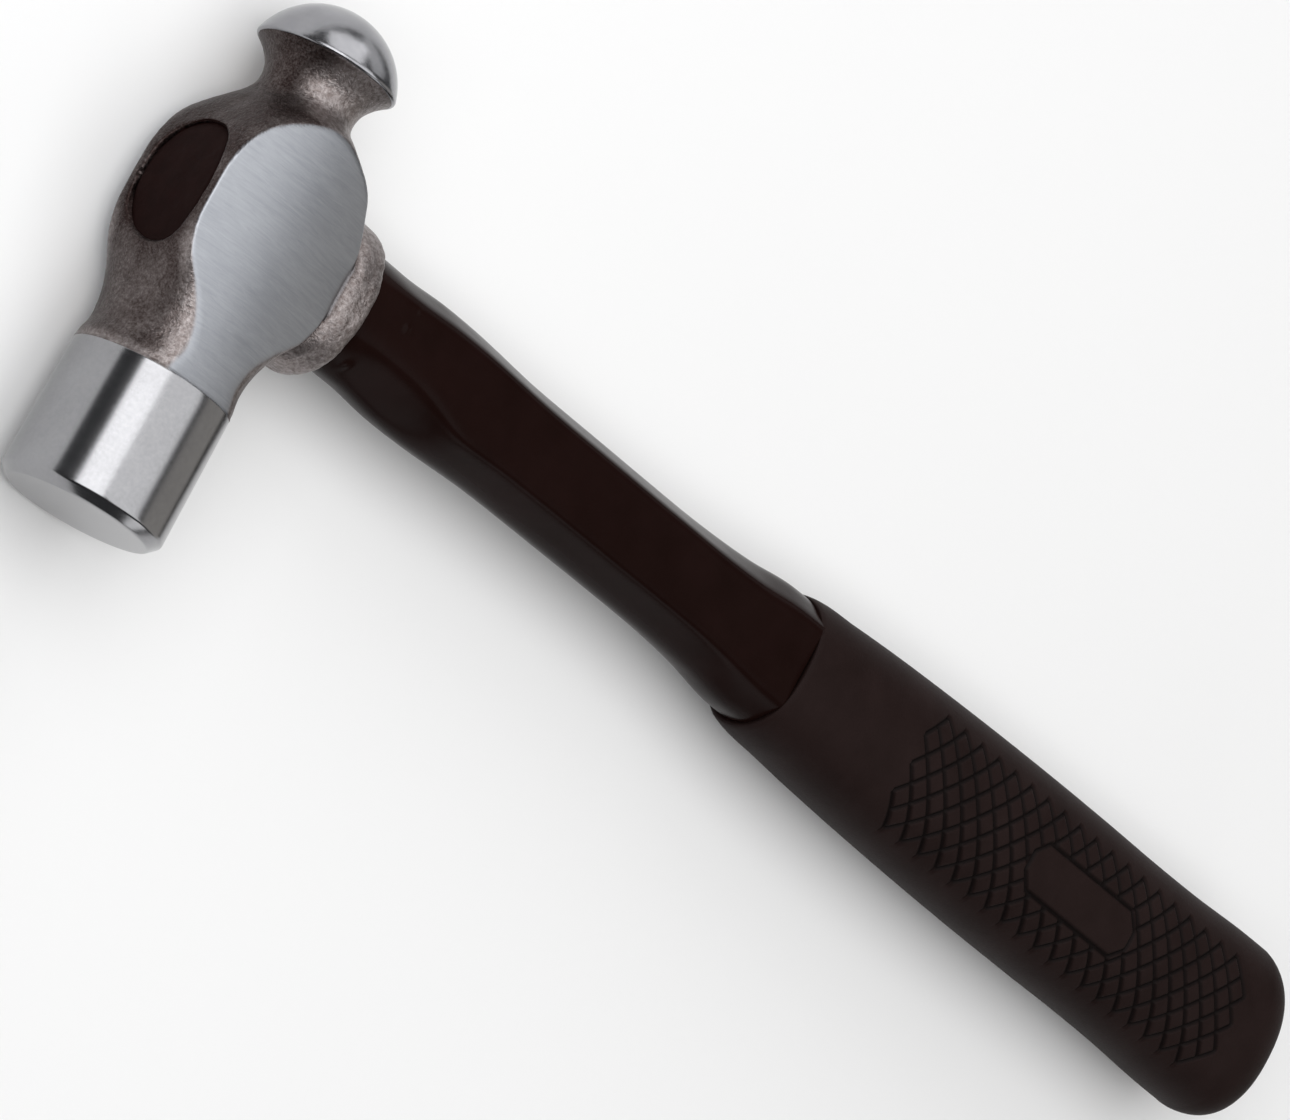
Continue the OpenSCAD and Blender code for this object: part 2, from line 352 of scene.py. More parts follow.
def turned_steel():
    """Turned poll: fine rings round the axis."""
    m = Nodes("turned_steel", Metallic=1.0, Anisotropic=0.35)
    rings = m.noise(1.0, 3.0, 0.6, m.stretch(30, 6000, 30))
    cloud = m.noise(160.0, 5.0, 0.6)
    fine = m.noise(1500.0, 3.0, 0.6)
    tone = m.mix(
        0.35,
        m.ramp(cloud, [(0.3, (0.27, 0.27, 0.28)), (0.7, (0.31, 0.31, 0.32))]),
        m.ramp(fine, [(0.3, (0.26, 0.26, 0.27)), (0.7, (0.34, 0.34, 0.35))]),
    )
    m.to("Base Color", tone)
    m.to("Roughness", m.mix(rings, 0.14, 0.24, "FLOAT"))
    height = m.math("ADD", m.math("MULTIPLY", rings, 0.6), m.math("MULTIPLY", fine, 0.4))
    m.to("Normal", m.bump(height, 0.000012, 0.6))
    return m.material


def polished_steel():
    """Polished cap of the peen."""
    m = Nodes("polished_steel", Metallic=1.0)
    cloud = m.noise(220.0, 5.0, 0.6)
    fine = m.noise(1700.0, 3.0, 0.6)
    m.to("Base Color", m.ramp(cloud, [(0.3, (0.27, 0.27, 0.285)), (0.7, (0.33, 0.33, 0.345))]))
    m.to("Roughness", m.mix(fine, 0.18, 0.28, "FLOAT"))
    m.to("Normal", m.bump(m.math("ADD", fine, cloud), 0.00002, 0.7))
    return m.material


def forged_steel():
    """Shot-blasted forging: lighter where the wear attribute is 1, which holds real wear plus a
    painted highlight and painted shade, and a satin ground cheek where ground is 1."""
    m = Nodes("forged_steel", Metallic=1.0)
    ground, wear_and_painted_light = m.attribute("ground"), m.attribute("wear_and_painted_light")
    grain = m.noise(1500.0, 3.0, 0.65)
    pits = m.noise(3200.0, 2.0, 0.5)
    cloud = m.noise(120.0, 4.0, 0.6)
    scale = m.ramp(grain, [(0.34, (0.023, 0.0143, 0.0132)), (0.68, (0.046, 0.0308, 0.0286))])
    bare = m.ramp(grain, [(0.34, (0.195, 0.164, 0.156)), (0.68, (0.41, 0.374, 0.368))])
    speckle = m.math("MULTIPLY", m.math("SUBTRACT", pits, 0.5), 0.58)
    show = m.math("ADD", m.math("MULTIPLY", wear_and_painted_light, 0.9), speckle, clamp=True)
    blasted = m.mix(show, scale, bare)
    brush = m.noise(1.0, 4.0, 0.65, m.stretch(150, 1700, 150), 1.2)
    satin = m.mix(
        0.5,
        m.ramp(cloud, [(0.3, (0.315, 0.328, 0.356)), (0.7, (0.370, 0.383, 0.410))]),
        m.ramp(brush, [(0.3, (0.280, 0.292, 0.318)), (0.7, (0.420, 0.432, 0.460))]),
    )
    m.to("Base Color", m.mix(ground, blasted, satin))
    blasted_rough = m.mix(grain, 0.36, 0.50, "FLOAT")
    satin_rough = m.mix(brush, 0.36, 0.45, "FLOAT")
    m.to("Roughness", m.mix(ground, blasted_rough, satin_rough, "FLOAT"))
    height = m.math("ADD", m.math("MULTIPLY", grain, 0.7), m.math("MULTIPLY", pits, 0.3))
    strength = m.mix(ground, 1.0, 0.10, "FLOAT")
    m.to("Normal", m.bump(height, 0.00020, strength))
    return m.material


def epoxy_fill():
    """Dark, dull epoxy."""
    m = Nodes("epoxy_fill", Roughness=0.7, Specular_IOR_Level=0.06)
    cloud = m.noise(300.0, 5.0, 0.6)
    fine = m.noise(1500.0, 3.0, 0.6)
    tones = [(0.3, (0.0070, 0.0018, 0.0014)), (0.7, (0.0115, 0.0034, 0.0028))]
    m.to("Base Color", m.ramp(cloud, tones))
    m.to("Normal", m.bump(m.math("ADD", cloud, m.math("MULTIPLY", fine, 0.3)), 0.00015, 0.6))
    return m.material


def seal_rubber():
    """Hidden ring that closes the eye."""
    m = Nodes("seal_rubber", Roughness=0.8)
    tones = [(0.3, (0.02, 0.02, 0.02)), (0.7, (0.04, 0.04, 0.04))]
    m.to("Base Color", m.ramp(m.noise(500.0), tones))
    m.to("Normal", m.bump(m.noise(1500.0), 0.0001, 0.5))
    return m.material


def glass_fibre():
    """Hidden rod, with strands along it."""
    m = Nodes("glass_fibre", Roughness=0.45)
    strands = m.noise(1.0, 4.0, 0.6, m.stretch(20, 1800, 1800))
    m.to("Base Color", m.ramp(strands, [(0.3, (0.50, 0.43, 0.22)), (0.7, (0.72, 0.66, 0.42))]))
    m.to("Normal", m.bump(strands, 0.0001, 0.5))
    return m.material


def jacket_plastic():
    """Glossy brown-black moulding."""
    m = Nodes("jacket_plastic", Specular_IOR_Level=0.035)
    cloud = m.noise(90.0, 4.0, 0.6)
    fine = m.noise(1200.0, 3.0, 0.6)
    tones = [(0.3, (0.0085, 0.0034, 0.0027)), (0.7, (0.0115, 0.0048, 0.0041))]
    m.to("Base Color", m.ramp(cloud, tones))
    m.to("Roughness", m.mix(m.noise(260.0, 5.0, 0.6), 0.16, 0.28, "FLOAT"))
    m.to("Normal", m.bump(m.math("ADD", cloud, m.math("MULTIPLY", fine, 0.08)), 0.00010, 0.5))
    return m.material


def grip_rubber():
    """Matte rubber, with painted shade darkening the grooves."""
    m = Nodes("grip_rubber", Specular_IOR_Level=0.08)
    cloud = m.noise(110.0, 5.0, 0.6)
    fine = m.noise(2400.0, 3.0, 0.6)
    # painted shade: the groove attribute takes the colour down towards black in the grooves
    groove = m.math("POWER", m.attribute("groove"), 0.6)
    base = m.ramp(cloud, [(0.3, (0.0105, 0.0048, 0.0042)), (0.7, (0.0155, 0.0080, 0.0073))])
    m.to("Base Color", m.mix(groove, base, (0.0016, 0.0005, 0.0004)))
    m.to("Roughness", m.mix(fine, 0.50, 0.66, "FLOAT"))
    m.to("Normal", m.bump(fine, 0.00006, 0.5))
    return m.material


# ---------------------------------------------------------------------------
# Head: the forging is a field that is below 0 inside the steel
# ---------------------------------------------------------------------------
# Profiles along the head, as (y, value): distance from the axis to its top, to its
# handle side and to its flanks, and how square the section is
UPPER = [
    (-27, 12.5), (-24.8, 12.4), (-22, 11.45), (-20, 11.4), (-15, 11.9), (-10, 13.5),
    (-5, 14.5), (0, 14.6), (5, 14.3), (10, 12.9), (16, 9.7), (18.6, 7.95), (20.8, 7.6),
    (23, 8.05), (25, 9.4), (26.7, 11.25),
]
LOWER = [
    (-27, 12.6), (-25, 12.5), (-22, 11.9), (-20, 11.9), (-15, 12.6), (-10, 14.4),
    (-6, 15.4), (0, 15.8), (5, 15.3), (10, 13.2), (14, 11.6), (17.2, 8.9), (18.6, 7.95),
    (20.8, 7.6), (23, 8.05), (25, 9.4), (26.7, 11.25),
]
SIDES = [
    (-27, 12.5), (-22, 12.0), (-16, 12.1), (0, 12.6), (10, 12.5), (15, 11.9), (17.2, 10.8),
    (19.4, 8.1), (20.8, 7.6), (23, 8.05), (25, 9.4), (26.7, 11.25),
]
SQUARENESS = [
    (-27, 2.05), (-17, 2.6), (-12, 4.0), (-9, 6.0), (-4, 8.5), (4, 8.5), (9, 6.0),
    (14, 3.2), (17.5, 2.1), (27, 2.0),
]
# The collar's half width and half thickness, as (x, value)
COLLAR_HALF = [(8, 10.6), (13, 11.2), (17, 12.5), (23, 12.6)]
COLLAR_THICK = [(8, 7.4), (13, 8.0), (14.6, 8.6), (16, 9.7), (17.5, 10.15), (23, 10.2)]
COLLAR_MID = -0.8
EYE_HALF, EYE_THICK = 9.8, 7.4
EYE_LOW = 0.7
SOCKET_HALF, SOCKET_THICK = 9.85, 8.05
CHEEK_Z, CHEEK_CROWN = 11.0, 60.0
FACE_BEVEL = 1.5
# The forging runs into the poll by this much, at this radius
POLL_OVERLAP, POLL_ROOT_R = 1.9, 12.68
# Past the poll's border the forging may swell out from this radius
BORDER_R = 12.66
# The notch in the edge of the eye: place and size
NOTCH_AT, NOTCH_SHAPE, NOTCH_R = [-14.4, -0.9, -7.7], [1.0, 0.6, 0.6], 0.8
EYE_POWER, OVAL_POWER = 2.2, 2.3
EYE_FLARE, EYE_FLARE_THICK = 1.05, 0.2
TURNED_AROUND = 240


def join(a, b, k):
    """Union of two fields, rounded over a width k."""
    h = np.clip(0.5 + 0.5 * (b - a) / k, 0, 1)
    return b + (a - b) * h - k * h * (1 - h)


def cut(a, b, k):
    """Intersection of two fields, rounded over a width k."""
    return -join(-a, -b, k)


def tube(u, v, half, thick, power):
    """Signed distance, nearly, to an oval tube whose section is in u and v."""
    r = np.hypot(u, v) + 1e-9
    s = ((np.abs(u) / half) ** power + (np.abs(v) / thick) ** power) ** (1 / power)
    return r - r / np.maximum(s, 1e-6)


def eye_field(p):
    x, y, z = p.T
    flare = smooth((-12.3 - x) / 2.3)
    half, thick = EYE_HALF + EYE_FLARE * flare, EYE_THICK + EYE_FLARE_THICK * flare
    hole = tube(y + EYE_LOW * flare, z, half, thick, EYE_POWER)
    notch = np.linalg.norm((p - NOTCH_AT) / NOTCH_SHAPE, axis=1) - NOTCH_R
    socket = tube(y, z, SOCKET_HALF, SOCKET_THICK, OVAL_POWER)
    socket = np.maximum(socket, JACKET_TOP_X - 0.05 - x)
    return np.minimum(join(hole, notch, 0.3), socket)


def head_parts(p):
    """Fields of the body before grinding, and of the space between the cheeks."""
    x, y, z = p.T
    side = np.where(x < 0, curve(y, UPPER), curve(y, LOWER))
    body = tube(x, z, side, curve(y, SIDES), curve(y, SQUARENESS))
    body = np.maximum(body, np.maximum(y - RIM_Y + 0.4, POLL_Y - POLL_OVERLAP - y))
    cheek = np.abs(z) - CHEEK_Z + x * x / (2 * CHEEK_CROWN) - 6 * smooth((y - 17.4) / 2)
    return body, cheek


def collar_field(p):
    x, y, z = p.T
    collar = tube(
        y - COLLAR_MID, z, curve(x, COLLAR_HALF), curve(x, COLLAR_THICK), EYE_POWER
    )
    return np.maximum(cut(collar, x - COLLAR_X + 0.02, 2.2), 8 - x)


def crease_shade(p):
    """1 in the corner between the cheek and the collar, where the colour is darkened as painted
    shade.
    """
    body, cheek = head_parts(p)
    away = np.maximum(np.abs(np.maximum(body, cheek)), np.abs(collar_field(p)))
    return smooth(1.15 - away / 0.9)


def head_field(p):
    x, y, z = p.T
    body, cheek = head_parts(p)
    r = np.hypot(x, z)
    ends = np.maximum(y - POLL_Y + 0.03, POLL_Y - POLL_OVERLAP - y)
    poll = np.maximum(r - POLL_ROOT_R, ends)
    steel = join(cut(body, cheek, 0.5), poll, 0.7)
    steel = np.maximum(steel, r - BORDER_R - 6 * smooth((y - POLL_Y) / 0.4))
    steel = join(steel, collar_field(p), 0.3)
    return cut(steel, -eye_field(p), 0.4)


def head_relief(p):
    """Height of the blasted surface over the smooth one, and where it is ground, cut back in the
    crease by the collar as painted shade.
    """
    x, y, z = p.T
    body, cheek = head_parts(p)
    ground = smooth((cheek - body) / 0.35 + 0.6) * smooth(1.8 - np.abs(cheek) / 0.17)
    collar = smooth((x - 14.0) / 3) * smooth((COLLAR_X + 0.3 - x) / 0.8)
    waves = 0.045 * fbm(p, 2.6, 2, 11) + 0.03 * noise(p, 0.95, 31)
    height = waves * (1 + 0.9 * collar)
    near_poll = smooth((y - POLL_Y - 0.2) / 1.0)
    near_rim = smooth((RIM_Y - 0.7 - y) / 1.0)
    height *= (1 - ground) * near_poll * near_rim
    # painted shade: the satin cheek gives way to dark scale in the crease by the collar
    return height, ground * (1 - 0.7 * crease_shade(p))


def head_wear_and_painted_light(p):
    """How light the dark scale of the forging shows, between 0 and 1: rubbed wear at the cheek
    edges, the poll's border, the collar and in patches, lighter towards the poll end, plus a
    painted highlight on the peen neck and painted shade in the crease by the collar.
    """
    x, y, z = p.T
    body, cheek = head_parts(p)
    edge = 0.95 * smooth(1 + cheek / 3.4) * (0.2 + 0.8 * smooth((-4 - y) / 6))
    border = 0.85 * smooth(1 - (y - POLL_Y) / 2.8)
    # painted highlight on the peen neck, strongest away from the top of the head
    peen = smooth((y - 15.5) / 3) * (0.1 + 0.9 * smooth((x + 8) / 5))
    collar = 0.86 * smooth((x - 9.0) / 4)
    lower = 0.29 * smooth((-7 - y) / 8)
    patches = 0.12 * fbm(p, 3.4, 3, 91) * (1 - collar)
    wear_and_painted_light = np.max([edge, border, peen, collar, lower], axis=0) + patches
    # painted shade: the crease by the collar is made darker
    return np.clip(wear_and_painted_light - 0.55 * crease_shade(p), 0, 1)


def gradient(field, p, step=0.02):
    """Slope of a field at each point, by central differences."""
    g = np.empty_like(p)
    for k in range(3):
        d = np.zeros(3)
        d[k] = step
        g[:, k] = (field(p + d) - field(p - d)) / (2 * step)
    return g


def forging_mesh():
    """The forging's surface: a grid mesh moved onto the field and its relief."""
    pitch = 0.37
    low = np.array([-16.0, POLL_Y - 2.6, -13.4])
    high = np.array([COLLAR_X + 1, RIM_Y + 0.6, 13.4])
    count = np.ceil((high - low) / pitch).astype(int)
    axes = [low[k] + pitch * np.arange(count[k]) for k in range(3)]
    cells = np.stack(np.meshgrid(*axes, indexing="ij"), -1).reshape(-1, 3)
    field = np.concatenate([head_field(c) for c in np.array_split(cells, 12)])
    grid = openvdb.FloatGrid()
    grid.copyFromArray(field.reshape(count).astype(np.float32))
    points, _, quads = grid.convertToPolygons(isovalue=0.0, adaptivity=0.0)
    p = low + np.asarray(points, float) * pitch

    def whole(q):
        return head_field(q) - head_relief(q)[0]

    for _ in range(4):
        g = gradient(whole, p)
        step = (whole(p) / np.maximum((g * g).sum(1), 0.05))[:, None] * g
        p -= np.clip(step, -0.25, 0.25)
    g = gradient(whole, p, 0.05)
    normals = g / np.linalg.norm(g, axis=1)[:, None]
    quads = np.asarray(quads, np.int64)
    a, b, c = p[quads[:, 0]], p[quads[:, 1]], p[quads[:, 2]]
    if (np.cross(b - a, c - b) * normals[quads[:, 0]]).sum() < 0:
        quads = quads[:, ::-1]
    return p, quads.tolist(), normals, head_relief(p)[1], head_wear_and_painted_light(p)


def poll_mesh():
    """The turned poll with its bevelled striking face."""
    outline = [
        (0, FACE_Y), (FACE_R - FACE_BEVEL, FACE_Y), (FACE_R, FACE_Y + FACE_BEVEL),
        (POLL_TOP_R, POLL_Y), (0, POLL_Y),
    ]
    profile = divided(rounded(outline, [0, 0.3, 0.35, 0.18, 0]), 1.2)
    return lathe(profile, TURNED_AROUND)


def dome_mesh():
    """The peen's polished cap, with a short rim below it."""
    start = math.asin((RIM_Y - BALL_Y) / BALL_R)
    cap = [
        (BALL_R * math.cos(a), BALL_Y + BALL_R * math.sin(a))
        for a in np.linspace(start, math.pi / 2, 34)
    ]
    base = RIM_Y - 0.55
    outline = [(0, base), (RIM_R - 0.3, base), (RIM_R, RIM_Y - 0.3), (RIM_R, RIM_Y)] + cap[1:]
    profile = divided(rounded(outline, [0, 0.15, 0.15] + [0] * len(cap)), 1.0)
    profile[-1][0] = 0.0
    return lathe(profile, TURNED_AROUND)


def vertex_normals(points, faces):
    mesh = bpy.data.meshes.new("scratch")
    mesh.from_pydata(np.asarray(points).tolist(), [], faces)
    mesh.update()
    n = np.zeros(len(points) * 3)
    mesh.vertex_normals.foreach_get("vector", n)
    bpy.data.meshes.remove(mesh)
    return n.reshape(-1, 3)


def build_head():
    shells = [forging_mesh()]
    for p, f in (poll_mesh(), dome_mesh()):
        shells.append((p, f, vertex_normals(p, f), np.zeros(len(p)), np.zeros(len(p))))
    faces, index, base = [], [], 0
    for which, (p, f, *_) in enumerate(shells):
        faces += [[v + base for v in face] for face in f]
        index += [which] * len(f)
        base += len(p)
    points, _, normals, ground, wear_and_painted_light = zip(*shells)
    head = mesh_object(
        "head_steel",
        np.vstack(points),
        faces,
        [forged_steel(), turned_steel(), polished_steel()],
        index,
        np.vstack(normals),
        {"ground": np.concatenate(ground), "wear_and_painted_light": np.concatenate(wear_and_painted_light)},
    )
    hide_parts("head")
    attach(head, "root")


# ---------------------------------------------------------------------------
# Epoxy in the eye
# ---------------------------------------------------------------------------
EPOXY_SINK, EPOXY_CLEAR = 0.45, 0.02
ROD_HALF, ROD_THICK = 6.5, 4.8


def oval_radius(t, half, thick, power):
    c, s = np.abs(np.cos(t) / half), np.abs(np.sin(t) / thick)
    return (c**power + s**power) ** (-1 / power)


def oval_ring(x, t, half, thick, power=OVAL_POWER, lean=0.0):
    r = oval_radius(t, half, thick, power)
    return np.stack([0 * t + x, r * np.cos(t) - lean, r * np.sin(t)], 1)


def build_epoxy():
    around = 160
    t = np.linspace(0, 2 * math.pi, around, endpoint=False)
    c, s = np.cos(t), np.sin(t)
    rings = []
    for k in np.linspace(0.04, 1.0, 26):
        half = EYE_HALF + EYE_FLARE - EPOXY_CLEAR
        thick = EYE_THICK + EYE_FLARE_THICK - EPOXY_CLEAR
        r = oval_radius(t, half, thick, EYE_POWER) * k
        y, z = r * c - EYE_LOW, r * s
        level = -TOP_H + EPOXY_SINK + 0.016 * y * y + 0.35 * (1 - smooth((1 - k) / 0.10))
        rough = fbm(np.stack([0 * y, y, z], 1), 3.2, 3, 5)
        rings.append(np.stack([level + 0.07 * rough * smooth((1 - k) / 0.08), y, z], 1))
    for x, flare in ((-13.2, 0.5), (-12.2, 0.0), (-4, 0.0), (EPOXY_END_X, 0.0)):
        half = EYE_HALF - EPOXY_CLEAR + EYE_FLARE * flare
        thick = EYE_THICK - EPOXY_CLEAR + EYE_FLARE_THICK * flare
        rings.append(oval_ring(x, t, half, thick, EYE_POWER, EYE_LOW * flare))
    rings += [oval_ring(x, t, ROD_HALF, ROD_THICK) for x in (EPOXY_END_X, CORE_TOP_X)]
    top = [-TOP_H + EPOXY_SINK, -EYE_LOW, 0]
    points = np.vstack([[top]] + rings + [[[CORE_TOP_X, 0, 0]]])
    faces = [f[::-1] for f in skin_faces(len(rings), around)]
    epoxy = mesh_object("epoxy_fill", points, faces, [epoxy_fill()])
    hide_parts("eye_epoxy")
    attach(epoxy, "root")


# ---------------------------------------------------------------------------
# Jacket: flat-sided shaft
# ---------------------------------------------------------------------------
# Half width and half thickness along the handle, and the share of the thickness
# that the narrow sides take, as (x, value)
SHAFT_HALF = [
    (22, 9.8), (30, 9.8), (40, 10.4), (47, 10.55), (63, 9.8), (71, 9.7), (103, 9.65), (119, 10.1),
    (128, 11.15), (134, 11.3), (160, 12.3), (200, 12.8), (266, 12.8),
]
SHAFT_THICK = [(22, 8.15), (40, 8.4), (118, 8.4), (133.8, 8.65), (266, 8.98)]
SIDE_SHARE = [
    (22, 0.28), (38, 0.26), (52, 0.17), (98, 0.17), (124, 0.33), (134, 0.34), (266, 0.34),
]
FLATS_FROM, FLATS_TO = 12, 34
CORNER = 18
PLUG_HALF, PLUG_THICK = 9.8, 8.0
# Moulding specks on the upper flat: place, size and height
SPECKS = [((30.6, 1.7), 0.6, 0.16), ((31.4, 5.0), 0.45, 0.08), ((26.4, -7.6), 0.8, 0.28)]


def flat_sided_radius(t, w, h, x):
    """Broad flats above and below, narrow sides, and bevels between them. Near
    the head the bevels on the poll's side are wider."""
    poll_side = 0.36 + 0.23 * float(smooth((x - 37) / 15))
    flat = np.where(np.cos(t) < 0, poll_side, 0.63) * w
    side = at(x, SIDE_SHARE) * h
    nx, ny = h - side, w - flat
    n = np.hypot(nx, ny)
    bevel = (nx * flat + ny * h) / n
    cx, cy = np.abs(np.cos(t)), np.abs(np.sin(t))
    total = (cx / w) ** CORNER + (cy / h) ** CORNER
    total += ((nx * cx + ny * cy) / n / bevel) ** CORNER
    total += (np.abs(nx * cx - ny * cy) / n / bevel) ** CORNER
    return total ** (-1 / CORNER)


def shaft_ring(x, t):
    w, h = at(x, SHAFT_HALF), at(x, SHAFT_THICK)
    k = float(smooth((x - FLATS_FROM) / (FLATS_TO - FLATS_FROM)))
    r = k * flat_sided_radius(t, w, h, x) + (1 - k) * oval_radius(t, w, h, OVAL_POWER)
    return np.stack([0 * t + x, r * np.cos(t), r * np.sin(t)], 1)


def build_jacket():
    around = 240
    t = np.linspace(0, 2 * math.pi, around, endpoint=False)
    rings = [
        oval_ring(CORE_END_X, t, ROD_HALF, ROD_THICK),
        oval_ring(JACKET_TOP_X, t, ROD_HALF, ROD_THICK),
        oval_ring(JACKET_TOP_X, t, PLUG_HALF, PLUG_THICK),
        oval_ring(COLLAR_X - 0.3, t, PLUG_HALF, PLUG_THICK),
    ]
    stations = np.concatenate([
        np.arange(COLLAR_X, 34, 0.3),
        np.arange(34, MOUTH_X + 3, 0.8),
        np.arange(138, JACKET_END_X, 6.0),
    ])
    rings += [shaft_ring(x, t) for x in stations] + [shaft_ring(JACKET_END_X, t)]
    points = np.vstack([[[CORE_END_X, 0, 0]]] + rings + [[[JACKET_END_X, 0, 0]]])
    waves = 0.035 * fbm(points * [0.25, 1, 1], 5.0, 2, 71)
    outer = (points[:, 0] > COLLAR_X + 0.5) & (points[:, 0] < MOUTH_X - 1.0)
    points[:, 1:] *= 1 + (waves * outer / 9)[:, None]
    for place, size, high in SPECKS:
        d = np.hypot(points[:, 0] - place[0], points[:, 1] - place[1]) / size
        points[:, 2] += high * np.exp(-d * d) * (points[:, 2] > 3)
    faces = skin_faces(len(rings), around)
    jacket = mesh_object("jacket", points, [f[::-1] for f in faces], [jacket_plastic()])
    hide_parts("handle_jacket")
    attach(jacket, "root")


# ---------------------------------------------------------------------------
# Grip with its diamond-cut panels
# ---------------------------------------------------------------------------
# Half width and half thickness along the grip, as (x, value)
GRIP_HALF = [
    (133.8, 11.7), (134.4, 12.0), (145, 12.9), (162, 13.8), (200, 14.7), (215, 14.75), (230, 14.65),
    (243, 14.8), (258, 15.35), (272, 15.4),
]
GRIP_THICK = [(133.8, 9.5), (134.6, 9.83), (170, 10.58), (205, 10.8), (272, 10.8)]
GRIP_LEAN, BUTT_LEAN = 0.25, 0.8
BUTT_ROUND, BUTT_FLAT = 9.0, 0.5
PANEL_HALF, SIDE_POINTS = 11.3, 16
PANEL_X, PANEL_Y = 162.34, -0.94
CELL_X, CELL_Y = 4.694, 5.137
PANEL_COLUMNS = 20
GROOVE_HALF, GROOVE_DEPTH = 0.52, 0.5
PAD_X, PAD_Y, PAD_HALF_X, PAD_HALF_Y, PAD_CORNER = 210.7, -0.9, 14.6, 4.35, 2.7


def pad_distance(x, y):
    """Distance to the border of the plain pad, below 0 inside it."""
    dx, dy = np.abs(x - PAD_X) - PAD_HALF_X, np.abs(y - PAD_Y) - PAD_HALF_Y
    return np.maximum(np.maximum(dx, dy), (dx + dy + PAD_CORNER) / math.sqrt(2))


def in_panel(i, j):
    """Whether the diamond between grooves i and j belongs to the panel."""
    u, v = (i + j + 3) / 2.0, (i - j) / 2.0
    return (u > 0.4) & (u < PANEL_COLUMNS - 0.4) & (np.abs(v) < 1.6)


def groove_amount(x, y):
    """1 in the middle of a groove and 0 outside it."""
    u, v = (x - PANEL_X) / CELL_X, (y - PANEL_Y) / CELL_Y
    a, b = u - 0.5 + v - 0.5, u - 0.5 - v - 0.5
    i, j = np.floor(a), np.floor(b)
    width = 1 / math.hypot(1 / CELL_X, 1 / CELL_Y)
    here = in_panel(i, j)
    best = np.full(x.shape, 9.0)
    sides = ((a - i, -1, 0), (1 - (a - i), 1, 0), (b - j, 0, -1), (1 - (b - j), 0, 1))
    for f, di, dj in sides:
        edge = here | in_panel(i + di, j + dj)
        best = np.where(edge, np.minimum(best, f * width), best)
    pad = pad_distance(x, y)
    best = np.where(pad < 0.35, 9.0, best)
    best = np.minimum(best, np.abs(pad))
    return smooth(1 - best / GROOVE_HALF)


def grip_profile(x):
    """Half width, half thickness and lean of the grip at one place."""
    w, h = at(x, GRIP_HALF), at(x, GRIP_THICK)
    past = max(0.0, x - (BUTT_X - BUTT_ROUND)) / BUTT_ROUND
    rise = math.sqrt(max(0.0, 1 - past * past))
    shrink = BUTT_FLAT + (1 - BUTT_FLAT) * rise
    return w * shrink, h * shrink, GRIP_LEAN + BUTT_LEAN * past


def grip_ring(x, across, sides):
    """Points and outward normals of one ring: over the top, round one side,
    under and back."""
    w, h, lean = grip_profile(x)
    reach = across[-1] * min(1.0, w * 0.86 / across[-1])
    y = across / across[-1] * reach
    z = h * (1 - (np.abs(y) / w) ** OVAL_POWER) ** (1 / OVAL_POWER)
    t0 = math.atan2(z[-1], y[-1])
    t = np.linspace(t0, -t0, sides + 2)[1:-1]
    r = oval_radius(t, w, h, OVAL_POWER)
    right = np.stack([r * np.cos(t), r * np.sin(t)], 1)
    top, under = np.stack([y, z], 1), np.stack([y[::-1], -z[::-1]], 1)
    ring = np.vstack([top, right, under, right[::-1] * [-1, 1]])
    normal = np.sign(ring) * (np.abs(ring) / [w, h]) ** 1.3 / [w, h]
    normal /= np.linalg.norm(normal, axis=1)[:, None]
    points = np.column_stack([np.full(len(ring), x), ring[:, 0] - lean, ring[:, 1]])
    return points, np.column_stack([np.zeros(len(ring)), normal])


def build_grip():
    fine = 0.2568
    step = CELL_X / 18
    across = np.linspace(-PANEL_HALF, PANEL_HALF, int(round(2 * PANEL_HALF / fine)) + 1)
    panel_from, panel_to = PANEL_X - 1.0, PANEL_X + PANEL_COLUMNS * CELL_X + 1.0
    stations = np.concatenate([
        MOUTH_X + np.array([0.0, 0.15, 0.35, 0.6, 0.9, 1.3, 1.8, 2.6]),
        np.arange(MOUTH_X + 4, panel_from - 0.5, 1.5),
        np.arange(panel_from, panel_to, step),
        np.arange(panel_to + 0.8, BUTT_X - BUTT_ROUND, 1.0),
        BUTT_X - BUTT_ROUND * (1 - np.sin(np.radians(np.linspace(0, 90, 22)))),
    ])
    count = 2 * (len(across) + SIDE_POINTS)
    rings, marks = [], []
    first, _ = grip_ring(MOUTH_X, across, SIDE_POINTS)
    for x in stations:
        points, normal = grip_ring(x, across, SIDE_POINTS)
        mark = groove_amount(points[:, 0], points[:, 1] + GRIP_LEAN)
        mark = mark * (np.abs(points[:, 2]) > 4)
        rings.append(points - GROOVE_DEPTH * mark[:, None] * normal)
        marks.append(mark)
    angle = np.arctan2(first[:, 2], first[:, 1] + GRIP_LEAN)
    inner = np.arange(JACKET_END_X - 6, MOUTH_X + 1, -12.0)
    bore = [shaft_ring(x, angle) for x in (JACKET_END_X, *inner, MOUTH_X)]
    inner_pole, butt_pole = [JACKET_END_X, 0, 0], [BUTT_X, -BUTT_LEAN, 0]
    points = np.vstack([[inner_pole]] + bore + rings + [[butt_pole]])
    # the groove marks both sink the grooves and paint shade into them
    mark = np.concatenate([np.zeros(1 + len(bore) * count)] + marks + [[0.0]])
    grip = mesh_object(
        "grip_sleeve",
        points,
        skin_faces(len(bore) + len(rings), count),
        [grip_rubber()],
        values={"groove": mark},
    )
    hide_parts("grip")
    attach(grip, "root")


build_head()
build_epoxy()
build_jacket()
build_grip()
for node, material in (("eye_seal", seal_rubber()), ("handle_core", glass_fibre())):
    frame["nodes"][node].data.materials.clear()
    frame["nodes"][node].data.materials.append(material)


